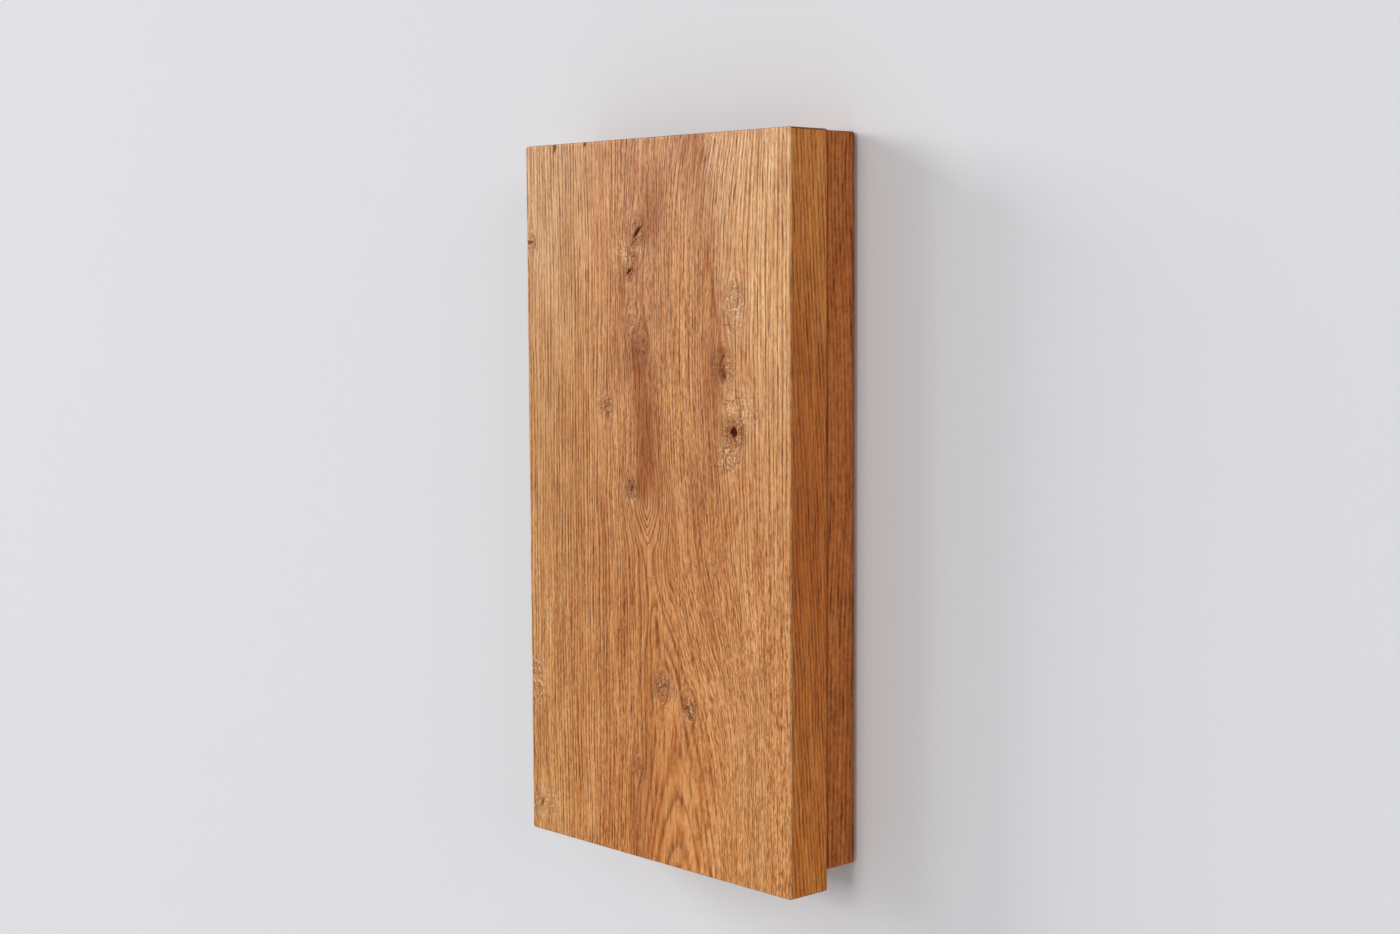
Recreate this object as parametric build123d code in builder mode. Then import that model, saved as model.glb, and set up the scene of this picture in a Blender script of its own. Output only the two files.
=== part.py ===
"""Flat oak vase that hangs on a wall, in millimetres: +X right, +Y into the wall, +Z up.

The origin is midway between the two keyholes, on the back face of the back board.
"""

import os
from math import radians, tan

from build123d import *

os.makedirs("parts", exist_ok=True)

# Oak boards: the back board is a little shorter than the front board at both ends
width = 162.0
front_height = 300.0
front_thickness = 20.5
back_thickness = 16.0
bottom_step = 8.5
top_drop = 0.5
corner_round = 1.2
face_round = 1.0
seam_chamfer = 0.4
rear_round = 1.5

# Flower pocket, milled into the front of the back board and open at the top
stile_width = 29.0
bottom_rail = 26.0
pocket_depth = 11.0
cutter_radius = 8.0
mouth_chamfer = 0.8

# Water liner, a flat clear vessel that stands in the pocket
liner_side_gap = 0.6
liner_face_gap = 0.5
liner_top_gap = 2.0
liner_wall = 1.5
liner_floor = 3.0
liner_edge_round = 1.5
liner_rim_round = 0.5

# Dowels between the boards, two in each stile, standing on the floor of the back board's holes
dowel_radius = 3.0
dowel_length = 20.0
dowel_back_depth = 9.5
dowel_glue_gap = 0.05
dowel_end_gap = 0.5
dowel_chamfer = 0.8
dowel_top_inset = 95.0
dowel_bottom_inset = 28.0

# Keyhole plates, let in flush with the back
hang_drop = 45.0
plate_width = 18.0
plate_thickness = 1.5
plate_corner = 5.0
plate_edge_chamfer = 0.2
plate_gap = 0.2
entry_radius = 4.5
slot_radius = 2.3
hang_travel = 10.0
hole_margin = 6.0
head_room_side = 1.0
head_room_depth = 7.0

# Countersunk wood screws, two in each plate, with a cross recess
screw_radius = 1.5
screw_length = 12.0
screw_tip = 2.5
screw_tip_radius = 0.3
screw_head_radius = 2.9
screw_head_sink = 0.1
sink_angle = 90.0
screw_seat_gap = 0.05
screw_hole_gap = 0.1
screw_thread_gap = 0.02
screw_above_slot = 6.7
screw_below_entry = 7.0
recess_length = 3.0
recess_width = 0.8
recess_depth = 1.3
recess_taper = 12.0

# Felt wall pads
pad_radius = 5.0
pad_thickness = 1.0
pad_inset = 9.0

# Levels and places that follow from the sizes above
front_top = hang_drop
front_bottom = front_top - front_height
back_top = front_top - top_drop
back_bottom = front_bottom + bottom_step
seam_y = -back_thickness
stile_x = (width - stile_width) / 2
pocket_width = width - 2 * stile_width
pocket_floor = back_bottom + bottom_rail
liner_thickness = pocket_depth - 2 * liner_face_gap
liner_width = pocket_width - 2 * liner_side_gap
liner_top = back_top - liner_top_gap
liner_corner = cutter_radius + 2 * liner_side_gap
screw_high = hang_travel + slot_radius + screw_above_slot
screw_low = -(entry_radius + screw_below_entry)
plate_high = screw_high + hole_margin
plate_low = screw_low - hole_margin
plate_length = plate_high - plate_low
plate_middle = (plate_high + plate_low) / 2
sink_slope = tan(radians(sink_angle / 2))
sink_radius = screw_head_radius + screw_head_sink * sink_slope + screw_seat_gap
screw_neck = screw_head_sink + (screw_head_radius - screw_radius) / sink_slope
screw_end = screw_head_sink + screw_length

stiles = (-stile_x, stile_x)
dowel_levels = (back_bottom + dowel_bottom_inset, back_top - dowel_top_inset)
dowel_points = [(x, z) for x in stiles for z in dowel_levels]
screw_points = [(x, z) for x in stiles for z in (screw_low, screw_high)]
pad_points = [(x, z) for x in stiles for z in (back_bottom + pad_inset, back_top - pad_inset)]


def facing_front(y):
    """A sketch plane at depth y that faces the room: sketch x is X, sketch y is Z, extrusion runs to -Y."""
    return Plane(origin=(0, y, 0), x_dir=(1, 0, 0), z_dir=(0, -1, 0))


back_plane = facing_front(0)
seam_plane = facing_front(seam_y)
liner_plane = facing_front(seam_y + pocket_depth - liner_face_gap)
liner_hollow_plane = facing_front(seam_y + pocket_depth - liner_face_gap - liner_wall)

# Front board: a plain oak board with blind dowel holes in its back
with BuildPart() as front_board:
    with BuildSketch(seam_plane):
        with Locations((0, (front_top + front_bottom) / 2)):
            Rectangle(width, front_height)
    extrude(amount=front_thickness)
    fillet(front_board.edges().filter_by(Axis.Y), corner_round)
    fillet(front_board.faces().sort_by(Axis.Y)[0].edges(), face_round)
    chamfer(front_board.faces().sort_by(Axis.Y)[-1].edges(), seam_chamfer)
    with BuildSketch(seam_plane):
        with Locations(*dowel_points):
            Circle(dowel_radius + dowel_glue_gap)
    extrude(amount=dowel_length - dowel_back_depth + dowel_end_gap, mode=Mode.SUBTRACT)
front_board.part.label = "front_board"
export_step(front_board.part, "parts/front_board.step")

# Back board: the pocket and dowel holes open to the front, the hanger recesses to the back
with BuildPart() as back_board:
    with BuildSketch(back_plane):
        with Locations((0, (back_top + back_bottom) / 2)):
            Rectangle(width, back_top - back_bottom)
    extrude(amount=back_thickness)
    fillet(back_board.edges().filter_by(Axis.Y), corner_round)
    fillet(back_board.faces().sort_by(Axis.Y)[-1].edges(), rear_round)
    chamfer(back_board.faces().sort_by(Axis.Y)[0].edges(), seam_chamfer)
    with BuildSketch(seam_plane) as pocket:
        with Locations((0, pocket_floor)):
            Rectangle(pocket_width, back_top - pocket_floor + cutter_radius, align=(Align.CENTER, Align.MIN))
        fillet(pocket.vertices().group_by(Axis.Y)[0], cutter_radius)
    extrude(amount=-pocket_depth, mode=Mode.SUBTRACT)
    top_edges = back_board.faces().sort_by(Axis.Z)[-1].edges().filter_by(Axis.X)
    chamfer(top_edges.group_by(Edge.length)[-2], mouth_chamfer)
    with BuildSketch(seam_plane):
        with Locations(*dowel_points):
            Circle(dowel_radius + dowel_glue_gap)
    extrude(amount=-dowel_back_depth, mode=Mode.SUBTRACT)
    with BuildSketch(back_plane):
        with Locations(*[(x, plate_middle) for x in stiles]):
            RectangleRounded(
                plate_width + 2 * plate_gap,
                plate_length + 2 * plate_gap,
                plate_corner + plate_gap,
            )
    extrude(amount=plate_thickness, mode=Mode.SUBTRACT)
    with BuildSketch(back_plane):
        with Locations(*[(x, hang_travel / 2) for x in stiles]):
            SlotCenterToCenter(hang_travel, 2 * (entry_radius + head_room_side), rotation=90)
    extrude(amount=plate_thickness + head_room_depth, mode=Mode.SUBTRACT)
    with BuildSketch(back_plane):
        with Locations(*screw_points):
            Circle(screw_radius + screw_thread_gap)
    extrude(amount=screw_end, mode=Mode.SUBTRACT)
back_board.part.label = "back_board"
export_step(back_board.part, "parts/back_board.step")

# Water liner: rounded lower corners that clear the cutter's, and an even wall
with BuildPart() as water_liner:
    with BuildSketch(liner_plane) as outline:
        with Locations((0, pocket_floor)):
            Rectangle(liner_width, liner_top - pocket_floor, align=(Align.CENTER, Align.MIN))
        fillet(outline.vertices().group_by(Axis.Y)[0], liner_corner)
    extrude(amount=liner_thickness)
    sides = water_liner.faces().filter_by(Axis.Y).edges()
    fillet(sides - sides.group_by(Axis.Z)[-1], liner_edge_round)
    with BuildSketch(liner_hollow_plane) as hollow:
        with Locations((0, pocket_floor + liner_floor)):
            Rectangle(liner_width - 2 * liner_wall, liner_top - pocket_floor, align=(Align.CENTER, Align.MIN))
        fillet(hollow.vertices().group_by(Axis.Y)[0], liner_corner - liner_wall)
    extrude(amount=liner_thickness - 2 * liner_wall, mode=Mode.SUBTRACT)
    fillet(water_liner.faces().sort_by(Axis.Z)[-1].edges(), liner_rim_round)
water_liner.part.label = "water_liner"
export_step(water_liner.part, "parts/water_liner.step")

# Dowels: one group of four
with BuildPart() as dowel:
    with BuildSketch(facing_front(seam_y + dowel_back_depth)):
        Circle(dowel_radius)
    extrude(amount=dowel_length)
    chamfer(dowel.edges(), dowel_chamfer)

with BuildPart() as dowels:
    with Locations(*[(x, 0, z) for x, z in dowel_points]):
        add(dowel.part)
dowels.part.label = "dowels"
export_step(dowels.part, "parts/dowels.step")

# Keyhole plates: a screw head goes in at the round entry and hangs at the top of the slot
for side, x in zip(("left", "right"), stiles):
    with BuildPart() as plate:
        with BuildSketch(back_plane):
            with Locations((x, plate_middle)):
                RectangleRounded(plate_width, plate_length, plate_corner)
        extrude(amount=plate_thickness)
        chamfer(plate.faces().sort_by(Axis.Y)[-1].edges(), plate_edge_chamfer)
        with BuildSketch(back_plane):
            with Locations((x, 0)):
                Circle(entry_radius)
            with Locations((x, hang_travel / 2)):
                SlotCenterToCenter(hang_travel, 2 * slot_radius, rotation=90)
        extrude(amount=plate_thickness, mode=Mode.SUBTRACT)
        with Locations(*[Plane(origin=(x, 0, z), z_dir=(0, 1, 0)) for z in (screw_low, screw_high)]):
            CounterSinkHole(screw_radius + screw_hole_gap, sink_radius, plate_thickness, sink_angle)
    plate.part.label = f"hanger_plate_{side}"
    export_step(plate.part, f"parts/hanger_plate_{side}.step")

# Screws: a countersunk head, a plain shank the size of the thread, and a point
with BuildPart() as screw:
    with BuildSketch(Plane.XY):
        with BuildLine():
            Polyline(
                (0, -screw_head_sink),
                (screw_head_radius, -screw_head_sink),
                (screw_radius, -screw_neck),
                (screw_radius, screw_tip - screw_end),
                (screw_tip_radius, -screw_end),
                (0, -screw_end),
                close=True,
            )
        make_face()
    revolve(axis=Axis.Y)
    with BuildSketch(facing_front(-screw_head_sink)):
        Rectangle(recess_length, recess_width)
        Rectangle(recess_width, recess_length)
    extrude(amount=recess_depth, taper=recess_taper, mode=Mode.SUBTRACT)

with BuildPart() as hanger_screws:
    with Locations(*[(x, 0, z) for x, z in screw_points]):
        add(screw.part)
hanger_screws.part.label = "hanger_screws"
export_step(hanger_screws.part, "parts/hanger_screws.step")

# Wall pads: one near each corner of the back
with BuildPart() as wall_pads:
    with BuildSketch(back_plane):
        with Locations(*pad_points):
            Circle(pad_radius)
    extrude(amount=-pad_thickness)
wall_pads.part.label = "wall_pads"
export_step(wall_pads.part, "parts/wall_pads.step")
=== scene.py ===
# %% [markdown]
# # A flat oak vase that hangs on a wall
# The vase is two oak boards: a thick front board, and a shorter back board with a pocket for stems. A clear
# liner stands in the pocket and lifts out. The solids come ready from CAD, so this lesson only gives them
# looks: the front board is worked out again with numpy, so that its grain can be real relief, the felt feet
# get soft rims, and every piece gets a procedural finish. Blender works in metres, and the wood is measured
# here in millimetres.

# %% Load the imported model
from math import cos, pi, radians, sin

import bpy
import numpy as np
from mathutils import Matrix, Vector


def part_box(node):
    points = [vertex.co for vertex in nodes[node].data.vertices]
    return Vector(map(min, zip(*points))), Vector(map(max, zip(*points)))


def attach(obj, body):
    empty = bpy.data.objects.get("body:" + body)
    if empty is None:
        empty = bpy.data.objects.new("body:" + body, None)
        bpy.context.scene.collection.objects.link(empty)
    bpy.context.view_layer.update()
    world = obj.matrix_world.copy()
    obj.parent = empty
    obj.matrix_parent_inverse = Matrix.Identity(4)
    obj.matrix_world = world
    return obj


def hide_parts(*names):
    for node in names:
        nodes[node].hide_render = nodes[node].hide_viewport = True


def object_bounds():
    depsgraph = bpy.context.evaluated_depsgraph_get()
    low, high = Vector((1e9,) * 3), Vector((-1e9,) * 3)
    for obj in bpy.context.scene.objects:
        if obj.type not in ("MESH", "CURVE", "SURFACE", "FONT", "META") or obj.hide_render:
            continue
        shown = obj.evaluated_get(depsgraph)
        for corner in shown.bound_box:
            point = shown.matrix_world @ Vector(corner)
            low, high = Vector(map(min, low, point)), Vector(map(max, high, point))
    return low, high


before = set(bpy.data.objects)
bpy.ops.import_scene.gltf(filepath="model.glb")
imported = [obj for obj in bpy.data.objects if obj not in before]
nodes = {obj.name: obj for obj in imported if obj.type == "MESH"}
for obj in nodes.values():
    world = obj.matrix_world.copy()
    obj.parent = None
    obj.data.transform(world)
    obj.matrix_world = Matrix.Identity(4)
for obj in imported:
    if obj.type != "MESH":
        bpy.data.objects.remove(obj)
cad_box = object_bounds()
mm = 0.001
print("nodes:", ", ".join(sorted(nodes)))

# %% [markdown]
# ## Camera
# The photograph was taken from the right, a little above the middle. A camera is a place, three turns and a
# lens. The turns become a matrix whose columns are the camera's own right, up and backward directions.

# %% Camera
view_place = Vector((0.671328, -0.627692, -0.013728))
view_yaw, view_pitch, view_roll = radians(47.345), radians(-4.853), radians(-0.274)
view_lens, view_sensor, view_near = 56.088, 36.0, 0.01

forward = Vector((-sin(view_yaw) * cos(view_pitch), cos(view_yaw) * cos(view_pitch), sin(view_pitch)))
level_right = Vector((cos(view_yaw), sin(view_yaw), 0))
level_up = level_right.cross(forward)
view_right = cos(view_roll) * level_right + sin(view_roll) * level_up
view_up = cos(view_roll) * level_up - sin(view_roll) * level_right
view_turn = Matrix((view_right, view_up, -forward)).transposed().to_4x4()

camera_data = bpy.data.cameras.new("camera")
camera_data.sensor_width = view_sensor
camera_data.lens = view_lens
camera_data.clip_start = view_near
camera = bpy.data.objects.new("camera", camera_data)
camera.matrix_world = Matrix.Translation(view_place) @ view_turn
bpy.context.scene.collection.objects.link(camera)
bpy.context.scene.camera = camera
print("camera looks along", [round(c, 3) for c in forward])

# %% [markdown]
# ## Wall, floor and light
# The vase hangs on a pale wall, and the main light grazes it from the left, so that the grain casts tiny
# shadows. Three weaker lamps and an even sky fill in the rest. The levels add up to a little under one on the
# front board: a colour then renders about as it is written. The wall shows from the room side only, so that
# the back of the vase can be looked at too.

# %% Wall and floor
stage_reach, floor_drop = 4.0, 0.75
wall_y = cad_box[1][1]


def flat_sheet(name, near, far):
    """One quad for the stage, from a near edge to a far one, each given by its Y and Z."""
    corners = [(-stage_reach, *near), (stage_reach, *near), (stage_reach, *far), (-stage_reach, *far)]
    mesh = bpy.data.meshes.new(name)
    mesh.from_pydata(corners, [], [(0, 1, 2, 3)])
    sheet = bpy.data.objects.new(name, mesh)
    bpy.context.scene.collection.objects.link(sheet)
    return sheet


wall_sheet = flat_sheet("wall", (wall_y, -floor_drop), (wall_y, stage_reach))
floor_sheet = flat_sheet("floor", (-stage_reach, -floor_drop), (stage_reach, -floor_drop))
for light_ray in ("visible_shadow", "visible_diffuse", "visible_glossy"):
    setattr(wall_sheet, light_ray, False)
print("wall at", wall_y, "floor at", -floor_drop)

# %% Paint of the wall and floor
paint_colour, paint_roughness, paint_gloss = (0.74, 0.745, 0.765, 1.0), 0.9, 0.1


def choose_shader(tree, choice, first, second, output):
    """Shows the first shader where the choice is 0 and the second where it is 1."""
    mix = tree.nodes.new("ShaderNodeMixShader")
    for number, socket in enumerate((choice, first.outputs[0], second.outputs[0])):
        tree.links.new(socket, mix.inputs[number])
    tree.links.new(mix.outputs[0], tree.nodes[output].inputs["Surface"])


def pale_paint(name, one_sided):
    """Plain pale paint. A one-sided sheet is clear where it is seen from behind."""
    paint = bpy.data.materials.new(name)
    paint.use_nodes = True
    tree = paint.node_tree
    shader = tree.nodes["Principled BSDF"]
    shader.inputs["Base Color"].default_value = paint_colour
    shader.inputs["Roughness"].default_value = paint_roughness
    shader.inputs["Specular IOR Level"].default_value = paint_gloss
    if one_sided:
        side = tree.nodes.new("ShaderNodeNewGeometry")
        clear = tree.nodes.new("ShaderNodeBsdfTransparent")
        choose_shader(tree, side.outputs["Backfacing"], shader, clear, "Material Output")
    return paint


wall_sheet.data.materials.append(pale_paint("wall_paint", True))
floor_sheet.data.materials.append(pale_paint("floor_paint", False))
print("stage paint:", paint_colour[:3])

# %% Lamps
# name, direction from the vase, distance and size in metres, and level
lamps = [
    ("window", (-0.92, -0.30, 0.27), 14.0, 4.8, 0.62),
    ("room_left", (-0.70, -0.65, 0.10), 8.0, 2.1, 0.13),
    ("room_front", (0.05, -1.0, 0.15), 8.0, 3.0, 0.29),
    ("room_right", (0.90, -0.35, 0.25), 8.0, 3.0, 0.18),
]
vase_middle = (Vector(cad_box[0]) + Vector(cad_box[1])) / 2


def soft_lamp(name, direction, distance, size, level):
    """A square lamp that gives a surface facing it this level of light: power = level * pi^2 * distance^2."""
    lamp_data = bpy.data.lights.new(name, "AREA")
    lamp_data.size = size
    lamp_data.energy = level * pi**2 * distance**2
    lamp = bpy.data.objects.new(name, lamp_data)
    towards = Vector(direction).normalized()
    lamp_turn = towards.to_track_quat("Z", "Y").to_matrix().to_4x4()
    lamp.matrix_world = Matrix.Translation(vase_middle + towards * distance) @ lamp_turn
    bpy.context.scene.collection.objects.link(lamp)


for lamp_row in lamps:
    soft_lamp(*lamp_row)

# %% Sky
# a plain grey takes the sky's place where it is seen, mirrored or looked at through the liner
sky_colour, sky_level = (1.0, 0.985, 0.97, 1.0), 0.28
seen_sky_colour = (0.55, 0.557, 0.57, 1.0)

world = bpy.data.worlds.new("sky")
world.use_nodes = True
bpy.context.scene.world = world
sky_tree = world.node_tree
sky = sky_tree.nodes["Background"]
sky.inputs["Color"].default_value = sky_colour
sky.inputs["Strength"].default_value = sky_level
seen_sky = sky_tree.nodes.new("ShaderNodeBackground")
seen_sky.inputs["Color"].default_value = seen_sky_colour
ray = sky_tree.nodes.new("ShaderNodeLightPath")
seen = ray.outputs["Is Camera Ray"]
for ray_kind in ("Is Transmission Ray", "Is Glossy Ray"):
    either = sky_tree.nodes.new("ShaderNodeMath")
    either.operation = "MAXIMUM"
    sky_tree.links.new(seen, either.inputs[0])
    sky_tree.links.new(ray.outputs[ray_kind], either.inputs[1])
    seen = either.outputs[0]
choose_shader(sky_tree, seen, sky, seen_sky, "World Output")
bpy.context.scene.view_settings.view_transform = "Standard"
print("sky level:", sky_level)

# %% [markdown]
# ## The front board's shape
# The board is a box with eased edges. It could be a cube with a Bevel modifier, but then there would be no
# points for the grain to move. So it is worked out in two parts: a face sheet, which is a grid over the front
# that rolls over at its rim, and an edge band, which carries the depth of the board round the outline.

# %% Stations of the face sheet
board_lo, board_hi = (np.array(corner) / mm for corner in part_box("front_board"))
corner_round, face_round, seam_chamfer = 1.2, 0.7, 0.4
across_step, upright_step, roll_points = 0.6, 1.25, 5

roll = face_round * (1 - np.cos(np.linspace(0, pi / 2, roll_points)))


def face_stations(low, high, step):
    """Places along one side: the quarter circle of the rolled edge at each end, and even steps between."""
    count = int(round((high - low - 2 * corner_round) / step)) + 1
    even = np.linspace(low + corner_round, high - corner_round, count)
    return np.concatenate([low + roll, even, high - roll[::-1]])


across = face_stations(board_lo[0], board_hi[0], across_step)
upright = face_stations(board_lo[2], board_hi[2], upright_step)
columns, rows = len(across), len(upright)
sheet_numbers = np.arange(rows * columns).reshape(rows, columns)
print("face sheet:", columns, "by", rows)

# %% Face sheet
def face_sheet():
    """A grid over the front. Near a corner, a grid point's square distance to the corner's centre becomes its
    round distance, which turns square rings into arcs. Near the rim, depth follows a quarter circle."""
    x, z = np.meshgrid(across, upright)
    cx = np.clip(x, board_lo[0] + corner_round, board_hi[0] - corner_round)
    cz = np.clip(z, board_lo[2] + corner_round, board_hi[2] - corner_round)
    dx, dz = x - cx, z - cz
    square = np.maximum(np.abs(dx), np.abs(dz))
    pull = square / np.maximum(np.hypot(dx, dz), 1e-9)
    inset = np.where(square > 0, corner_round - square, corner_round)
    rise = np.clip(face_round - inset, 0, face_round)
    depth = face_round - np.sqrt(face_round**2 - rise**2)
    return cx + dx * pull, depth, cz + dz * pull


sheet_x, sheet_d, sheet_z = (part.ravel() for part in face_sheet())

# point numbers of the rim: along the bottom, up the right, back along the top and down
rim = np.concatenate([
    sheet_numbers[0, :-1], sheet_numbers[:-1, -1], sheet_numbers[-1, :0:-1], sheet_numbers[:0:-1, 0],
])
rim_x, rim_z = sheet_x[rim], sheet_z[rim]
print("points on the rim:", len(rim))

# %% Edge band
depth_step, first_row = 1.0, 0.1


def turned_out(place, low, high):
    """How far the rim faces along one axis, from -1 to 1: its way past a corner's centre, over the round."""
    past = place - np.clip(place, low + corner_round, high - corner_round)
    return np.clip(past / corner_round, -1, 1)


out_x = turned_out(rim_x, board_lo[0], board_hi[0])
out_z = turned_out(rim_z, board_lo[2], board_hi[2])
thickness = board_hi[1] - board_lo[1]
depth_count = int((thickness - face_round) / depth_step) + 1
straight = np.linspace(face_round, thickness - seam_chamfer, depth_count)[1:]
straight = np.append(face_round + first_row, straight)
band_depth = np.append(straight, thickness)
band_inset = np.append(np.zeros(len(straight)), seam_chamfer)
band_x = (rim_x - band_inset[:, None] * out_x).ravel()
band_z = (rim_z - band_inset[:, None] * out_z).ravel()
band_d = np.repeat(band_depth, len(rim))
print("edge band:", len(band_depth), "rows")

# %% All points of the board
# place across, depth behind the face, height in the frame, and how far a point faces sideways and endways
grain_x = np.concatenate([sheet_x, band_x])
grain_d = np.concatenate([sheet_d, band_d])
grain_z = np.concatenate([sheet_z, band_z])
turned_x = np.concatenate([np.zeros(len(sheet_x)), np.tile(out_x, len(band_depth))])
turned_z = np.concatenate([np.zeros(len(sheet_x)), np.tile(out_z, len(band_depth))])
on_sheet = np.arange(len(grain_x)) < len(sheet_x)
off_sides = turned_x == 0
flank = np.clip(1.6 * np.abs(turned_x) - 0.5, 0, 1)
end_grain = np.abs(turned_z) > 0.7
board_height = board_hi[2] - board_lo[2]
up = grain_z - board_lo[2]
print("points:", len(grain_x), "of them on end grain:", int(end_grain.sum()))

# %% Faces between the points
def grid_quads(number, closed=False):
    """Quads between the neighbours of a 2-D array of point numbers. A closed one wraps round in the second
    direction."""
    if closed:
        number = np.hstack([number, number[:, :1]])
    corners = [number[:-1, :-1], number[:-1, 1:], number[1:, 1:], number[1:, :-1]]
    return np.stack(corners, axis=-1).reshape(-1, 4)


sheet_quads = grid_quads(sheet_numbers)
band_numbers = rows * columns + np.arange(len(band_x)).reshape(len(band_depth), len(rim))
band_quads = grid_quads(np.vstack([rim, band_numbers]), closed=True)[:, ::-1]
back_face = band_numbers[-1][::-1]
print("quads:", len(sheet_quads) + len(band_quads))

# %% [markdown]
# ## Growth rings
# Oak shows a slice through a log. Each point of the board has a distance to the heart of the tree, and the
# heart bends: it runs just under the face in the upper half, dips away in the middle and comes back at the
# bottom. That alone draws the straight lines at the sides and the arches and the pointed flame in the middle.
# The distance, in ring widths, is kept on every point, and the finish turns it into rings, pores and colour.

# %% Noise, steps and spots
noise_size = 128


def soft_noise(u, v, seed):
    """Value noise from 0 to 1: random heights on a square lattice, blended smoothly between neighbours."""
    heights = np.random.default_rng(seed).random((noise_size, noise_size))
    i, j = np.floor(u).astype(int), np.floor(v).astype(int)
    a, b = u - i, v - j
    a, b = a * a * (3 - 2 * a), b * b * (3 - 2 * b)
    i0, i1, j0, j1 = i % noise_size, (i + 1) % noise_size, j % noise_size, (j + 1) % noise_size
    low = heights[i0, j0] * (1 - a) + heights[i1, j0] * a
    high = heights[i0, j1] * (1 - a) + heights[i1, j1] * a
    return low * (1 - b) + high * b


def smooth_step(start, end, value):
    """0 up to the start, 1 from the end on, and a smooth S between. The end may also be the lower one."""
    t = np.clip((value - start) / (end - start), 0, 1)
    return t * t * (3 - 2 * t)


def spot(centre_x, centre_up, half_width, half_height):
    """A round spot on the board that is 1 at its centre and fades like a bell."""
    return np.exp(-(((grain_x - centre_x) / half_width) ** 2 + ((up - centre_up) / half_height) ** 2))


def board_noise(cell_width, cell_height, seed):
    """Soft noise over the board, in cells of this width and height in millimetres."""
    return soft_noise(grain_x / cell_width, up / cell_height, seed)


print("noise lattice:", noise_size, "by", noise_size)

# %% The heart of the log
# height on the board, the heart's place across it, how far its eye opens, how round the eye's tip is, and how
# far the eye reaches to each side
heart_path = np.array([
    (-30, 15.5, 27, 10, 30), (0, 15.5, 16, 10, 30), (40, 15.5, 3, 9, 30), (52, 14.5, 0, 7, 28),
    (62, 12.5, 0, 5, 24), (75, 9, 0, 3, 20), (95, 4, 0, 2, 16), (115, 0.3, 0, 1.5, 12),
    (128, -1.8, 0, 1, 9), (131, -2.2, 1, 0.8, 8), (141, -2.8, 13, 0.8, 8), (149, -3.2, 26, 0.8, 8),
    (156, -3.5, 25, 1, 9), (170, -4.2, 15, 1, 10), (180, -4.6, 12, 1, 11),
    (215, -5.5, 11, 1, 11), (265, -4.5, 9, 1, 11), (285, -3, 5, 1, 11),
    (300, -1, 1, 1, 11), (330, 1, 0, 1, 11),
])
heart_line = -3.5
fine_up = np.arange(heart_path[0, 0], heart_path[-1, 0] + 1)
rounding = np.hanning(13) / np.hanning(13).sum()


def heart_value(column):
    """One column of the heart's path at each point's height: straight between its rows, then rounded off."""
    fine = np.interp(fine_up, heart_path[:, 0], heart_path[:, column])
    padded = np.pad(fine, len(rounding) // 2, mode="edge")
    return np.interp(up, fine_up, np.convolve(padded, rounding, mode="valid"))


heart_across, eye_opening, eye_tip, eye_reach = (heart_value(column) for column in range(1, 5))
heart_shift = (heart_across - heart_line) * (1 - smooth_step(40, 74, grain_x))
from_heart = grain_x - heart_line - heart_shift
print("heart moves right by", heart_path[1, 1] - heart_line, "mm at the bottom")

# %% Knots open the grain
# across, up, half width and half length of the eye that each knot opens in the grain, and how far it opens it
knots = [
    (-8.5, 261, 3.2, 6, 4.5), (-13, 246, 2.6, 5, 3.2), (-12, 225, 3, 5, 4),
    (-6, 217, 4, 6, 6), (-12, 155.5, 2.5, 4, 3.6), (43, 210, 3.2, 7, 4.5),
    (49.3, 182, 3.4, 7, 5.2), (49.5, 236, 3.5, 6, 3), (-28.5, 189.5, 2.6, 4.5, 3),
    (6, 75, 3, 5, 4.2), (22, 68.5, 3, 5, 3.6), (-9.7, 38, 2.6, 6, 3),
    (-77.5, 259, 3, 5, 3), (-75, 12.5, 5, 7, 4),
]


def knot_push(knot_x, knot_up, half_width, half_length, opening):
    """How far a knot pushes the grain to the right: what is beside it moves away, most at one half width, and
    the push fades like a bell."""
    u, v = (grain_x - knot_x) / half_width, (up - knot_up) / half_length
    return opening * u * np.exp(-(u * u + v * v) / 2)


pushed = sum(knot_push(*knot) for knot in knots)
print("knots push the grain by up to", round(float(pushed.max()), 1), "mm")

# %% Rings and fibres
ring_seed, ring_total, ring_least, ring_spread = 5, 160, 1.3, 1.3
heart_room, heart_rings, heart_widen = 60.0, 14, 2.3
heart_depth, knot_depth = 6, 6


def ring_count():
    """Rings between a point and the heart. The distance to the heart's line falls as fast as the line moves
    right, so the grain left of it stays upright. A bell opens the eye, with a point where the flame is. Slow
    noise bends the distance, knots push it aside, and rings of uneven width turn it into a count."""
    side = np.where(from_heart < 0, -1.0, 1.0)
    bell_power = 2 - 0.95 * smooth_step(112, 126, up) * (1 - smooth_step(150, 172, up))
    eye = eye_opening * np.exp(-(np.abs(from_heart / eye_reach) ** bell_power))
    distance = np.hypot(from_heart, eye_tip) - eye - heart_shift
    distance += np.hypot(from_heart, grain_d + heart_depth) - np.hypot(from_heart, heart_depth)
    distance += 2.0 * (board_noise(16, 60, 11) - 0.5)
    distance += 0.9 * (board_noise(5, 22, 12) - 0.5)
    distance += 9.0 * spot(2, 106, 12, 22) * (board_noise(3.5, 24, 13) - 0.5)
    distance -= side * pushed * np.exp(-grain_d / knot_depth)
    distance += flank * 0.9 * (grain_d + 0.1 * up)
    widths = ring_least + ring_spread * np.random.default_rng(ring_seed).random(ring_total)
    widths[:heart_rings] *= heart_widen
    edges = np.concatenate([[0], np.cumsum(widths)])
    return np.interp(distance + heart_room, edges, np.arange(ring_total + 1))


rings = ring_count()

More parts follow.
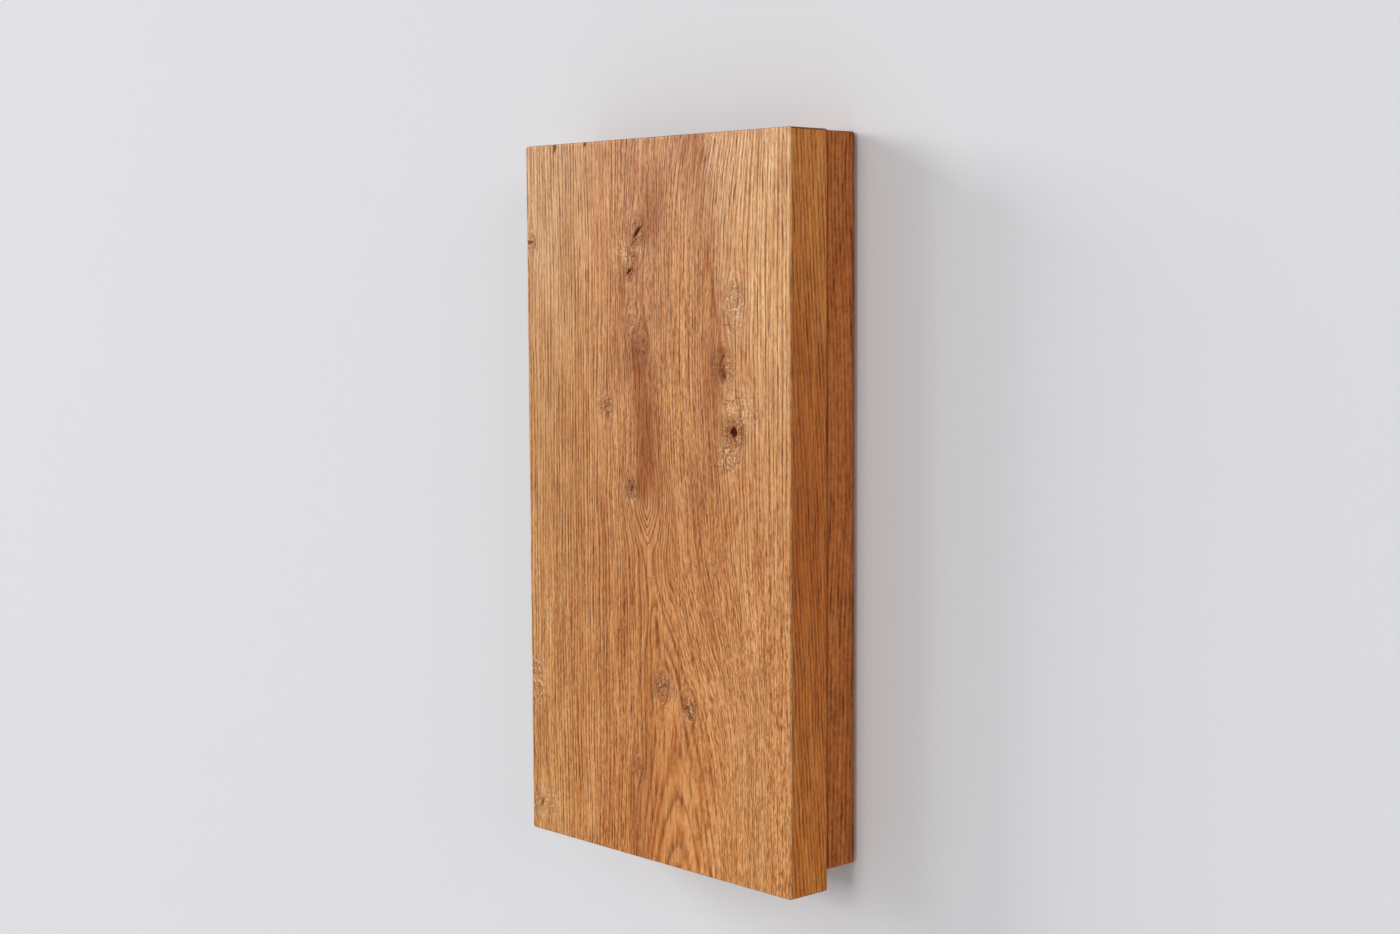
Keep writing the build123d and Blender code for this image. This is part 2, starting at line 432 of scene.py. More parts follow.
# place across the fibres: they lean with the heart on its right, and knots push them aside
leaning = heart_shift * smooth_step(-16, 36, from_heart)
around = grain_x - leaning - pushed + 0.8 * board_noise(6, 30, 14) + grain_d
print("rings across the face:", round(float(np.ptp(rings[on_sheet])), 1))

# %% [markdown]
# ## Figures in the wood
# The face has figures that no ring count gives: a red streak along the heart, pale curly patches where
# branches began, and knots with dark lashes round them. Each is a band or a spot with a place and a size. Its
# strength is worked out for every point and kept there as a mask, for the finish to use.

# %% Red heart
# strength, half width, edge power, and the middle of the band as (height, across) points
heart_bands = [
    (0.22, 9.5, 2, [(206, -6), (225, -6), (250, -5), (285, -2)]),
    (0.12, 14, 2, [(150, -6), (215, -7), (290, -4)]),
    (0.5, 1.2, 2, [(208, 44), (215, 42.5), (250, 35), (255, 34.5)]),
    (0.55, 9, 3, [(145, 27), (200, 36), (225, 36), (310, 24)]),
    (0.5, 4.5, 2, [(-10, -9.5), (40, -10), (48, -9)]),
]
# strength, then across, up, half width and half height
heart_spots = [
    (0.25, -20, 206, 13, 7), (0.45, 43, 209, 5, 7), (0.4, 2, 271, 7, 12),
    (0.28, -6, 217, 8, 7), (0.3, 6, 76, 7, 5),
]
main_streak = [(153, -3.2), (180, -4), (203, -4.5), (212, -6)]
foot_fade, head_fade = 8, 10


def along_line(points, half_width, edge):
    """A band along a line of (height, across) points: a bell across it, flatter for a higher edge power,
    and 0 past its ends."""
    heights, places = np.array(points).T
    middle = np.interp(up, heights, places)
    foot = smooth_step(heights[0] - foot_fade, heights[0] + foot_fade, up)
    head = 1 - smooth_step(heights[-1] - head_fade, heights[-1] + head_fade, up)
    return np.exp(-(np.abs((grain_x - middle) / half_width) ** edge)) * foot * head


red_heart = (1.12 - 0.42 * smooth_step(176, 206, up)) * along_line(main_streak, 6.2, 4)
red_heart += sum(strength * along_line(line, half, edge) for strength, half, edge, line in heart_bands)
red_heart += sum(strength * spot(*place) for strength, *place in heart_spots)
ragged = 0.55 + 0.5 * board_noise(2.2, 26, 21) + 0.5 * board_noise(5, 14, 22)
heart = np.clip(red_heart * ragged, 0, 1) * off_sides
print("red heart covers", round(100 * float(heart[on_sheet].mean()), 1), "percent of the face")

# %% Curls and knot eyes
# across, up, half width and half height of each curly patch
curl_spots = [
    (-74, 12.5, 10, 6), (-77.5, 259, 4, 4), (50, 232, 6, 11), (46, 171, 7, 7), (54, 190, 9, 7),
    (-28.5, 189.5, 5, 5), (-77, 72, 4, 6), (-12, 153, 4, 4), (-12, 254, 9, 6), (44, 204, 6, 6),
    (23, 67, 4, 4), (6, 75, 4, 4), (-6, 218, 8, 7), (-77, 64, 5, 8),
]
# across, up, reach of the lashes round it, and darkness; darkness around 0.6 opens a slit and turns it, and
# near 1 it opens a hole
knot_eyes = np.array([
    (-8.3, 261.5, 6.8, 0.62), (-13, 246, 4.8, 0.618), (-12, 225, 4, 0.4), (-6, 216, 6, 0.45),
    (-12.3, 155.5, 5.5, 0.6), (43, 208, 8, 0.54), (49.3, 182, 7, 0.99), (49.5, 236, 6, 0.35),
    (-28.5, 189.5, 5.5, 0.601), (6, 75, 6.5, 0.603), (22, 68.5, 6, 0.604), (-9.7, 38, 5, 0.5),
    (-77.5, 259, 3.6, 0.45), (-75, 12.5, 7.5, 0.2), (-77, 72, 4, 0.3), (45, 170, 5, 0.3),
])
curl = np.clip(sum(spot(*place) for place in curl_spots), 0, 1) * off_sides

# every point keeps its place beside the knot that is nearest, measured in reaches of that knot
all_u = (grain_x[:, None] - knot_eyes[:, 0]) / knot_eyes[:, 2]
all_v = (up[:, None] - knot_eyes[:, 1]) / knot_eyes[:, 2]
nearest = np.argmin(all_u**2 + all_v**2, axis=1)
each = np.arange(len(nearest))
knot_u, knot_v = all_u[each, nearest], all_v[each, nearest]
knot_dark = knot_eyes[nearest, 3] * off_sides
print("curls:", len(curl_spots), "knots:", len(knot_eyes))

# %% Kinds of grain
# mottled grain is broken into flecks, figured grain has unbroken lines, and calm grain has weak ones
combed_right = smooth_step(26, 54, grain_x) * smooth_step(95, 180, up)
combed_left = smooth_step(-12, -34, grain_x) * (0.4 + 0.6 * smooth_step(80, 190, up))
mottled_right = smooth_step(18, 62, grain_x) * (1 - 0.85 * combed_right)
mottled = np.maximum(mottled_right, 0.9 * spot(-6, 245, 20, 42)) * (1 - flank)
arches_and_flame = spot(18, 20, 24, 34) + spot(-3, 140, 14, 20) + 0.6 * spot(2, 100, 14, 30)
figured = np.maximum.reduce([
    np.clip(arches_and_flame, 0, 1) * (1 - flank),
    0.6 * combed_right,
    0.6 * combed_left,
    0.7 * flank,
])
calm = np.maximum.reduce([
    0.5 * heart,
    0.4 * mottled,
    0.25 * spot(16, 15, 24, 34),
    0.3 * flank,
    0.35 * smooth_step(-50, -68, grain_x),
])
print("mottled and figured parts:", round(float(mottled.mean()), 2), round(float(figured.mean()), 2))

# %% Tone and wear
# mellow wood is browner: the middle column and the sides halfway up; where it is low the wood is paler
mellow_and_sheen = 0.45 + 0.5 * np.exp(-(((grain_x + 2) / 34) ** 2))
# the upper face away from the middle is paler: a painted sheen
mellow_and_sheen -= 0.35 * smooth_step(110, 260, up) * smooth_step(8, 60, np.abs(grain_x + 4))
mellow_and_sheen -= 0.1 * smooth_step(50, 75, np.abs(grain_x))
# the right shoulder is blond: a painted sheen there too
mellow_and_sheen -= 0.45 * smooth_step(22, 60, grain_x) * smooth_step(180, 270, up)
mellow_and_sheen += 0.25 * spot(31, 125, 16, 26) + 0.35 * spot(0, 105, 12, 28)
mellow_and_sheen += 0.3 * (board_noise(16, 45, 41) - 0.5)
# the sides are paler at their ends: painted light thrown back from the wall
mellow_and_sheen += flank * (0.95 * np.exp(-(((up - 155) / 80) ** 2)) - 0.38 - 0.3 * smooth_step(70, 10, up))

# hands and dusting wear the edges a little; the right edge gets more, a painted highlight along its arris
to_edge = np.minimum(board_hi[0] - np.abs(grain_x), np.minimum(up, board_height - up))
near_edge = 1 - np.where(on_sheet, smooth_step(0.3, 0.9, to_edge), smooth_step(0.7, 1.4, grain_d))
edge_wear_and_highlight = near_edge * np.where(grain_x > 75, 1.0, 0.15)

# the sides and ends are darker than the face, and the right side more than the left: painted shade
darker_side_and_shade = np.maximum(flank * np.where(grain_x > 0, 1, 0.4), 0.8 * end_grain)
print("mellow from", round(float(mellow_and_sheen.min()), 2), "to", round(float(mellow_and_sheen.max()), 2))

# %% [markdown]
# ## Relief
# The face was brushed, so the soft early wood of each ring lies lower than the hard late wood, and knots and
# cracks are small pits. The relief only goes inwards, so the board keeps its size.

# %% Cracks
# across, up, length, width, angle from level, depth
cracks = [
    (-8.2, 261.5, 5.6, 1.2, 42, 0.5), (-10.5, 257.5, 6, 0.9, 35, 0.25), (-13, 246, 3.8, 0.8, 45, 0.35),
    (-6.5, 263.5, 4, 0.9, 20, 0.2), (49.3, 182, 3.2, 2.8, 20, 0.9), (43.5, 205, 5, 1, 120, 0.25),
    (43, 211, 5, 1, 60, 0.2), (-12.3, 156, 3.4, 1, 70, 0.2), (-74, 12.5, 3.6, 1, 60, 0.25),
    (-61, 298.8, 1.6, 3.8, 0, 0.6), (-41, 299.2, 1.4, 2.4, 0, 0.5), (-79, 258.5, 5, 0.9, 10, 0.25),
]
crack_reach, crack_darkness, seam_darkness = 2.5, 1.6, 0.35


def crack(centre_x, centre_up, length, width, angle):
    """A pointed groove: a bell along the turned length, and a narrower one across it."""
    turn = radians(angle)
    along = (grain_x - centre_x) * cos(turn) + (up - centre_up) * sin(turn)
    aside = (up - centre_up) * cos(turn) - (grain_x - centre_x) * sin(turn)
    return np.exp(-((2 * along / length) ** 2) - (2 * aside / width) ** 2)


near_face = np.exp(-((grain_d / crack_reach) ** 2)) * off_sides
cut = sum(deep * crack(*line) for *line, deep in cracks) * near_face
cracks_and_seam = np.clip(crack_darkness * sum(crack(*line) for *line, deep in cracks), 0, 1) * near_face
# the back edge beside the seam is darker: the glue line, and painted shade in the small groove between the
# boards
cracks_and_seam += seam_darkness * smooth_step(thickness - 0.8, thickness - 0.1, grain_d)
print("cracks:", len(cracks))

# %% Relief
early_depth, fibre_depth, curl_depth, end_depth = 0.07, 0.05, 0.22, 0.04
early_width = 0.16

phase = rings % 1.0
early = np.exp(-((np.minimum(phase, 1 - phase) / early_width) ** 2))
relief = early_depth * early + fibre_depth * board_noise(0.9, 16, 31)
relief += curl_depth * curl * board_noise(1.3, 1.8, 32)
relief = np.where(end_grain, end_depth * early, relief * (1 - 0.6 * heart)) + cut
relief = np.where(grain_d >= thickness - 1e-6, 0, relief)
print("deepest relief, mm:", round(float(relief.max()), 2))

# %% Put the board together
sharp_angle = radians(50)


def mesh_piece(name, points, faces):
    """A mesh object from points in millimetres and lists of faces, smooth except at sharp edges."""
    mesh = bpy.data.meshes.new(name)
    mesh.from_pydata(points * mm, [], faces)
    mesh.polygons.foreach_set("use_smooth", np.ones(len(mesh.polygons), bool))
    mesh.set_sharp_from_angle(angle=sharp_angle)
    piece = bpy.data.objects.new(name, mesh)
    bpy.context.scene.collection.objects.link(piece)
    return piece


board_points = np.stack([
    grain_x - relief * turned_x,
    board_lo[1] + grain_d + relief * on_sheet,
    grain_z - relief * turned_z,
], axis=-1)
board_faces = [*sheet_quads.tolist(), *band_quads.tolist(), back_face.tolist()]
oak_front = mesh_piece("oak_front", board_points, board_faces)
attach(oak_front, "vase")
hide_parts("front_board")
print("oak_front:", len(oak_front.data.polygons), "faces")

# %% Keep the patterns on the points
patterns = {
    "grain": (rings, around, up),
    "figure": (heart, cracks_and_seam, curl),
    "eye": (knot_u, knot_v, knot_dark),
    "tone": (darker_side_and_shade, mottled, edge_wear_and_highlight),
    "lines": (calm, figured, np.clip(mellow_and_sheen, -0.5, 1)),
}
for pattern, values in patterns.items():
    kept = oak_front.data.attributes.new(pattern, "FLOAT_VECTOR", "POINT")
    kept.data.foreach_set("vector", np.stack(values, axis=-1).astype(np.float32).ravel())
print("kept on the points:", ", ".join(patterns))

# %% [markdown]
# ## Finishes
# Every finish is a tree of shader nodes. Two small classes keep the trees short to write. A wire is the
# output of a node, and arithmetic on wires adds Math nodes, so that a pattern reads like a formula. A finish
# is a material: most of its methods add one node, link wires to it, set numbers on it and return its output.

# %% Wires
class Wire:
    """An output of a node in a finish."""

    def __init__(self, finish, socket):
        self.finish = finish
        self.socket = socket

    def __add__(self, other):
        return self.finish.calc("ADD", self, other)

    def __sub__(self, other):
        return self.finish.calc("SUBTRACT", self, other)

    def __rsub__(self, other):
        return self.finish.calc("SUBTRACT", other, self)

    def __mul__(self, other):
        return self.finish.calc("MULTIPLY", self, other)

    def __truediv__(self, other):
        return self.finish.calc("DIVIDE", self, other)

    def __pow__(self, other):
        return self.finish.calc("POWER", self, other)


def with_alpha(value):
    """A colour of three numbers gets an alpha of 1; a wire or a number stays as it is."""
    return (*value, 1.0) if isinstance(value, tuple) else value


print("wires ready")

# %% Finish helper
class Finish:
    """One material and its nodes. Its place is in object coordinates, in metres."""

    def __init__(self, name):
        self.material = bpy.data.materials.new(name)
        self.material.use_nodes = True
        self.tree = self.material.node_tree
        self.shader = self.tree.nodes["Principled BSDF"]
        self.place = self.add("TexCoord", {}, "Object")

    def feed(self, socket, value):
        """Links a wire to a socket, or sets a number or a colour on it."""
        if isinstance(value, Wire):
            self.tree.links.new(value.socket, socket)
        else:
            socket.default_value = value

    def node(self, kind, inputs, **settings):
        node = self.tree.nodes.new("ShaderNode" + kind)
        for key, value in settings.items():
            setattr(node, key, value)
        for key, value in inputs.items():
            self.feed(node.inputs[key], value)
        return node

    def add(self, kind, inputs, output=0, **settings):
        return Wire(self, self.node(kind, inputs, **settings).outputs[output])

    def split(self, vector):
        return [Wire(self, part) for part in self.node("SeparateXYZ", {0: vector}).outputs]

    def join(self, x, y, z):
        return self.add("CombineXYZ", {0: x, 1: y, 2: z})

    def kept(self, name):
        """The three numbers that a piece keeps on its points."""
        return self.split(self.add("Attribute", {}, "Vector", attribute_name=name))

    def calc(self, operation, a, b=0.0):
        return self.add("Math", {0: a, 1: b}, operation=operation)

    def greater(self, a, b):
        return self.calc("MAXIMUM", a, b)

    def spread(self, value, low, high, to_low=0.0, to_high=1.0):
        """Maps low..high to to_low..to_high with a smooth S, clamped."""
        inputs = {"Value": value, "From Min": low, "From Max": high, "To Min": to_low, "To Max": to_high}
        return self.add("MapRange", inputs, interpolation_type="SMOOTHSTEP")

    def scaled(self, scale):
        return self.add("Mapping", {"Vector": self.place, "Scale": scale})

    def noise(self, vector, detail, roughness, distortion=0.0):
        inputs = {"Vector": vector, "Scale": 1.0, "Detail": detail, "Roughness": roughness}
        return self.add("TexNoise", {**inputs, "Distortion": distortion})

    def texture(self, scale, detail, roughness, distortion=0.0):
        """Noise over the piece, with so many cells to a metre along X, Y and Z."""
        return self.noise(self.scaled(scale), detail, roughness, distortion)

    def ramp(self, value, *stops):
        """A colour ramp through (position, colour) or (position, grey) stops."""
        node = self.node("ValToRGB", {0: value})
        while len(node.color_ramp.elements) < len(stops):
            node.color_ramp.elements.new(0.5)
        for element, (position, shade) in zip(node.color_ramp.elements, stops):
            element.position = position
            element.color = with_alpha(shade if isinstance(shade, tuple) else (shade, shade, shade))
        return Wire(self, node.outputs[0])

    def blend(self, amount, a, b, mode="MIX"):
        """Goes from colour a to colour b."""
        inputs = {0: amount, 6: with_alpha(a), 7: with_alpha(b)}
        return self.add("Mix", inputs, 2, data_type="RGBA", blend_type=mode)

    def lay(self, colour, *layers, mode="MIX"):
        """Lays (amount, colour) layers over a colour, one after the other."""
        for amount, layer in layers:
            colour = self.blend(amount, colour, layer, mode)
        return colour

    def surface(self, **sockets):
        """Feeds the shader: base_color goes to the socket Base Color, and so on."""
        for key, value in sockets.items():
            name = key.replace("_", " ").title().replace("Ior", "IOR")
            self.feed(self.shader.inputs[name], with_alpha(value))

    def bump(self, height, distance):
        inputs = {"Height": height, "Distance": distance, "Strength": 1.0}
        self.feed(self.shader.inputs["Normal"], self.add("Bump", inputs))

    def report(self, stage="whole finish"):
        print(f"{self.material.name}, {stage}: {len(self.tree.nodes)} nodes")


def paint_node(name, finish):
    """Gives a CAD node its finish."""
    nodes[name].data.materials.clear()
    nodes[name].data.materials.append(finish.material)


print("finish helper ready")

# %% [markdown]
# ## Oiled oak
# A ring starts with a band of wide open pores, which the oil turns dark, and goes on with dense, paler wood.
# The pores are long: on the face they are dashes, on the ends dots. So the noise is stretched along the grain
# and follows the ring count. One function draws this wood, and each board has its own colours and rings.

# %% Oak
def oak(finish, ring, around_mm, along_mm, colours, calm, whole, fleck_and_glint):
    """The wood itself, from light, middle, line and pore colours. calm fades its lines, whole leaves them
    unbroken, fleck_and_glint adds short strokes: dark ones, and pale ones that are painted glints.
    Returns its colour, its pores and the height of its surface."""
    light, middle, line, pore = colours
    glint, pale = (tuple(c**power for c in light) for power in (0.65, 0.85))

    def grain_noise(per_ring, per_round, per_length, detail, roughness):
        """Noise with so many cells to a ring, to a millimetre round the log and to a millimetre along it."""
        place = finish.join(ring * per_ring, around_mm * per_round, along_mm * per_length)
        return finish.noise(place, detail, roughness)

    # lines at the start of each ring, thin and even where they are whole, and a glow in its middle
    start = finish.calc("FRACT", ring)
    clear = 1 - calm
    clean = finish.spread(whole, 0.72, 1)
    band = finish.ramp(start, (0, 0.65), (0.1, 1), (0.28, 0.35), (0.5, 0), (0.92, 0), (1, 0.65))
    band = band ** (clean * 1.2 + 1) * clear
    dashes = finish.spread(grain_noise(0.8, 0.08, 0.03, 2, 0.6), 0.38, 0.60)
    uneven = finish.spread(grain_noise(0.9, 0, 0.006, 1, 0.5), 0.36, 0.60, 0.4, 1)
    lines = band * (finish.greater(dashes, whole) * finish.greater(uneven, clean) * 0.9 + 0.1)
    patchy = finish.spread(grain_noise(0.8, 0.1, 0.035, 2, 0.6), 0.42, 0.62)
    glow = finish.ramp(start, (0.36, 0), (0.64, 1), (0.92, 0)) * finish.greater(patchy, whole)

    # fibres and pores are long, strokes and specks are short
    fibres = grain_noise(0.4, 0.68, 0.025, 3, 0.7)
    pores = finish.spread(grain_noise(0.7, 1.2, 0.06, 2, 0.6), 0.50, 0.68)
    pores = pores * (band * 0.6 + 0.4) * (clear * 0.6 + 0.4)
    strokes = grain_noise(0.5, 0.95, 0.24, 2, 0.6)
    specks = grain_noise(0.6, 1.5, 0.36, 2, 0.7)
    plain = 1 - whole * 0.85

    # the pale strokes in the glint colour are painted glints on the fibres; the dark strokes are the wood's
    # own
    colour = finish.lay(
        finish.blend(finish.spread(fibres, 0.41, 0.61), middle, light),
        (glow * 0.8, light),
        (lines, line),
        (pores * 0.95, pore),
        (finish.spread(strokes, 0.5, 0.66) * fleck_and_glint, glint),
        (finish.spread(strokes, 0.48, 0.34) * fleck_and_glint, line),
        (finish.spread(specks, 0.50, 0.66, 0, 0.65) * plain, line),
        (finish.spread(specks, 0.49, 0.34, 0, 0.65) * plain, pale),
    )
    height = fibres + strokes * 0.4 - (lines * 0.6 + pores * 0.8)
    return colour, pores, height


print("oak ready")

# %% Wood of the front board
front_colours = ((0.915, 0.51, 0.245), (0.64, 0.257, 0.066), (0.34, 0.094, 0.008), (0.19, 0.043, 0.004))

front = Finish("front_oak")
front_ring, front_around, front_along = front.kept("grain")
heart_mask, crack_and_seam_mask, curl_mask = front.kept("figure")
side_and_shade_mask, mottled_mask, edge_wear_and_highlight_mask = front.kept("tone")
calm_mask, whole_mask, mellow_and_sheen_mask = front.kept("lines")
front_fleck_and_glint = mottled_mask * 0.45 + 0.2
front_colour, front_pores, front_height = oak(
    front, front_ring, front_around, front_along, front_colours, calm_mask, whole_mask, front_fleck_and_glint
)
front.report("wood")

# %% Broad tones of the front board
# clouds, ring streaks, mellow wood, blond wood and painted sheen, the darker foot, the cooler left and the
# red heart
cloud = front.texture((45, 45, 14), 3, 0.55)
streak = front.noise(front.join(front_ring * 0.24, 0, front_along * 0.009), 2, 0.6)
mellow_and_sheen_stops = ((0, (0.98, 1, 1)), (0.45, (0.95, 0.89, 0.78)), (1, (0.84, 0.72, 0.56)))
front_colour = front.lay(
    front_colour,
    (front.spread(cloud, 0.35, 0.68, 0, 0.6), (0.82, 0.70, 0.54)),
    (front.spread(streak, 0.4, 0.66, 0, 0.6), (0.84, 0.72, 0.56)),
    (1, front.ramp(mellow_and_sheen_mask, *mellow_and_sheen_stops)),
    # low mellow_and_sheen values lighten the wood, partly a painted sheen
    (front.spread(mellow_and_sheen_mask, 0.05, -0.4), (1.10, 1.17, 1.20)),
    # the foot is darker and warmer: the painted sheen of the top fading out towards the bottom
    (front.spread(front_along, 170, -20), (1, 0.93, 0.78)),
    (front.spread(front.split(front.place)[0], -25 * mm, -65 * mm), (0.93, 0.98, 1)),
    (heart_mask, (0.62, 0.46, 0.31)),
    mode="MULTIPLY",
)
front.report("broad tones")

# %% [markdown]
# ## Knots and curls
# Round a knot the fibres turn every way. One squiggle of bent noise serves for all of it: its hills are the
# pale curls, its dales the dark ones, and its middle contour draws thin veins. Lashes are noise read round
# the knot, and a slit is an ellipse, turned by the knot's darkness so that no two slits are alike.

# %% Curls
pale_curl_and_highlight_colour, dark_curl_and_shade_colour = (1, 0.62, 0.31), (0.30, 0.085, 0.008)

squiggle = front.texture((430, 430, 330), 2, 0.5, 2.4)
# pale curls are partly painted highlight on the curly lumps, dark curls partly painted shade between them
pale_curl_and_highlight = curl_mask * front.spread(squiggle, 0.48, 0.6) * front.spread(heart_mask, 0.5, 0.1)
dark_curl_and_shade = curl_mask * front.spread(squiggle, 0.46, 0.36)
front_colour = front.blend(pale_curl_and_highlight * 0.8, front_colour, pale_curl_and_highlight_colour)
front_colour = front.blend(dark_curl_and_shade * 0.5, front_colour, dark_curl_and_shade_colour)
front.report("curls")

# %% Lashes and veins
knot_shade = (0.80, 0.56, 0.36)
pale_lash_colour, dark_lash_colour = (0.92, 0.54, 0.245), (0.20, 0.042, 0.004)
# radius of the circle on which lashes read the noise, how far darkness moves it, and cells along a lash
lash_circle, lash_apart, lash_cells = 4.4, 40, 2.2

eye_u, eye_v, eye_dark = front.kept("eye")
eye_far = front.calc("SQRT", eye_u * eye_u + eye_v * eye_v)
lash_place = front.join(
    eye_u / eye_far * lash_circle,
    eye_v / eye_far * lash_circle,
    eye_dark * lash_apart + eye_far * lash_cells,
)
lash = front.noise(lash_place, 3, 0.65, 0.5)
lash_fade = front.spread(eye_far, 1.05, 0.45) * eye_dark
vein = front.spread(front.calc("ABSOLUTE", squiggle - 0.5), 0.045, 0.012)
vein_fade = front.spread(eye_far, 1.3, 0.55) * eye_dark
pale_lash = lash_fade * front.spread(lash, 0.46, 0.38)
dark_lash = front.greater(vein_fade * vein, lash_fade * front.spread(lash, 0.56, 0.68, 0, 0.6))
front_colour = front.blend(lash_fade * 0.55, front_colour, knot_shade, "MULTIPLY")
front_colour = front.blend(pale_lash * 0.65, front_colour, pale_lash_colour)
front_colour = front.blend(dark_lash * 0.85, front_colour, dark_lash_colour)
front.report("lashes")

# %% Slits, holes and cracks
# the slit of a knot with the slanted darkness leans by the slanted angle, in radians, and others turn from it
slanted_dark, slanted_angle, turn_rate = 0.62, 0.785, 20
pit_colour, crack_and_seam_colour = (0.075, 0.010, 0.001), (0.09, 0.013, 0.001)

eye_turn = eye_dark * turn_rate + (slanted_angle - slanted_dark * turn_rate)
eye_cos, eye_sin = front.calc("COSINE", eye_turn), front.calc("SINE", eye_turn)
slit_along = (eye_u * eye_cos + eye_v * eye_sin) * 2.3
slit_aside = (eye_v * eye_cos - eye_u * eye_sin) * 8.5
slit_far = slit_along * slit_along + slit_aside * slit_aside + squiggle * 1.6
has_slit = front.spread(eye_dark, 0.588, 0.62) * front.spread(eye_dark, 0.8, 0.7)
slit = front.spread(slit_far, 2, 1.2) * has_slit
hole = front.spread(eye_dark, 0.75, 0.95) * front.spread(eye_far + squiggle * 0.3, 0.50, 0.36)
pit = front.greater(hole, slit)
# pits and cracks are painted near black, which partly stands for painted shade inside them
front_colour = front.lay(front_colour, (pit, pit_colour), (crack_and_seam_mask * 0.85, crack_and_seam_colour))
front.report("slits")

# %% Sides and gloss of the front board
side_and_shade_tint, worn_and_highlight_colour = (0.98, 0.645, 0.31), (0.80, 0.50, 0.25)

# sides and ends darker and redder as side and end grain, and the right side darker still: painted shade
front_colour = front.blend(side_and_shade_mask, front_colour, side_and_shade_tint, "MULTIPLY")
# pale along the edges: a little wear all round, and a painted highlight along the right arris
front_colour = front.blend(edge_wear_and_highlight_mask * 0.12, front_colour, worn_and_highlight_colour)
hollow = front.greater(pit, front.greater(dark_lash, crack_and_seam_mask))
dull = front.greater(front.greater(front_pores, heart_mask * 1.8), hollow * 3.4)
front.surface(base_color=front_colour, roughness=dull * 0.2 + 0.31, specular_ior_level=0.17)
front.bump(front_height + (pale_curl_and_highlight - (dark_lash + pit)) * 0.6, 0.6 * mm)
oak_front.data.materials.append(front.material)
front.report()

# %% [markdown]
# ## The back board
# The back board is another plank of the same oak, a little redder. Its CAD shape is right as it is, so only a
# finish is needed. Its log is drawn in the nodes: the heart lies outside the board, slow noise makes it sway,
# and the distance to it gives the rings on the sides, the back and the ends alike.

# %% Rings of the back board
heart_aside, heart_behind, sway_aside, sway_deep = 12, 42, 12, 14
back_colours = ((0.76, 0.315, 0.1), (0.565, 0.204, 0.046), (0.28, 0.076, 0.011), (0.14, 0.031, 0.004))

back = Finish("back_oak")
back_x, back_y, back_z = back.split(back.place)
sway = back.texture((3, 3, 4.5), 1, 0.4)
wobble = back.texture((90, 90, 22), 2, 0.5)
aside = back_x * (1 / mm) + sway * sway_aside - heart_aside
deep = back_y * (1 / mm) - sway * sway_deep - heart_behind
radius = back.calc("SQRT", aside * aside + deep * deep)
back_around = back.calc("ARCTAN2", aside, deep * -1) * radius
back_ring = radius * 0.75 + wobble * 1.2
back_colour, back_pores, back_height = oak(
    back, back_ring, back_around, back_z * (1 / mm), back_colours, calm=0, whole=0.6, fleck_and_glint=0.14
)
back.report("wood")

# %% Tones of the back board
back_lo, back_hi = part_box("back_board")
back_cloud_tint, right_side_and_shade_tint = (0.84, 0.74, 0.66), (0.93, 0.70, 0.50)
shade_colour = (0.10, 0.020, 0.002)

back_cloud = back.texture((40, 40, 12), 3, 0.55)
# the right side, which faces away from the window, is darker and redder: painted shade
right_side_and_shade = back.spread(back_x, back_hi[0] - 11 * mm, back_hi[0] - 0.5 * mm)
# darker along the seam: the glue line, and painted shade in the groove there
seam_shade = back.spread(back_y, back_lo[1] + 0.7 * mm, back_lo[1])
# the rim next to the wall is painted dark: the painted shadow of the gap between board and wall
near_side = back.spread(back.calc("ABSOLUTE", back_x), back_hi[0] - 2 * mm, back_hi[0] - 0.7 * mm)
rim_shade = back.spread(back_y, back_hi[1] - 4.5 * mm, back_hi[1] - 0.6 * mm) * near_side
back_colour = back.lay(
    back_colour,
    (back.spread(back_cloud, 0.35, 0.68, 0, 0.4), back_cloud_tint),
    (right_side_and_shade, right_side_and_shade_tint),
    mode="MULTIPLY",
)
back_colour = back.blend(back.greater(seam_shade, rim_shade) * 0.6, back_colour, shade_colour)
back.surface(base_color=back_colour, roughness=back_pores * 0.2 + 0.40, specular_ior_level=0.14)
back.bump(back_height, 0.3 * mm)
paint_node("back_board", back)
back.report()

# %% [markdown]
# ## Dowels
# Two dowels in each stile line the boards up while the glue sets. They are bare turned beech: plain pale wood
# with short brown flecks and no rings to speak of. The oak function can draw it with other colours, if the
# ring count is taken across each dowel and the length along it, which is the Y direction here.

# %% Dowel finish
beech_rings_per_metre = 520
beech_colours = ((0.66, 0.46, 0.29), (0.58, 0.37, 0.21), (0.46, 0.26, 0.13), (0.28, 0.13, 0.055))

beech = Finish("beech")
dowel_x, dowel_y, dowel_z = beech.split(beech.place)
beech_ring = dowel_x * beech_rings_per_metre
beech_colour, beech_pores, beech_height = oak(
    beech, beech_ring, dowel_z * (1 / mm), dowel_y * (1 / mm), beech_colours, calm=0.3, whole=0, fleck_and_glint=0.3
)
beech.surface(base_color=beech_colour, roughness=beech_pores * 0.15 + 0.6)
beech.bump(beech_height, 0.1 * mm)
paint_node("dowels", beech)
beech.report()

# %% [markdown]
# ## Water liner
# Stems stand in a flat vessel of clear acrylic that lifts out of the pocket to be filled. Clear plastic is
# almost all transmission: what makes it look used is where it isn't clear, so fine upright scratches from the
# pocket and a chalky line where the water stood make it rougher there. Its shadow is switched off, because
# Cycles would draw it as dark as the shadow of wood.

# %% Liner finish
liner_lo, liner_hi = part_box("water_liner")
water_level = liner_lo[2] + 0.62 * (liner_hi[2] - liner_lo[2])
clear_tint, chalk_tint, acrylic_ior = (0.985, 0.995, 0.993), (0.90, 0.92, 0.915), 1.49

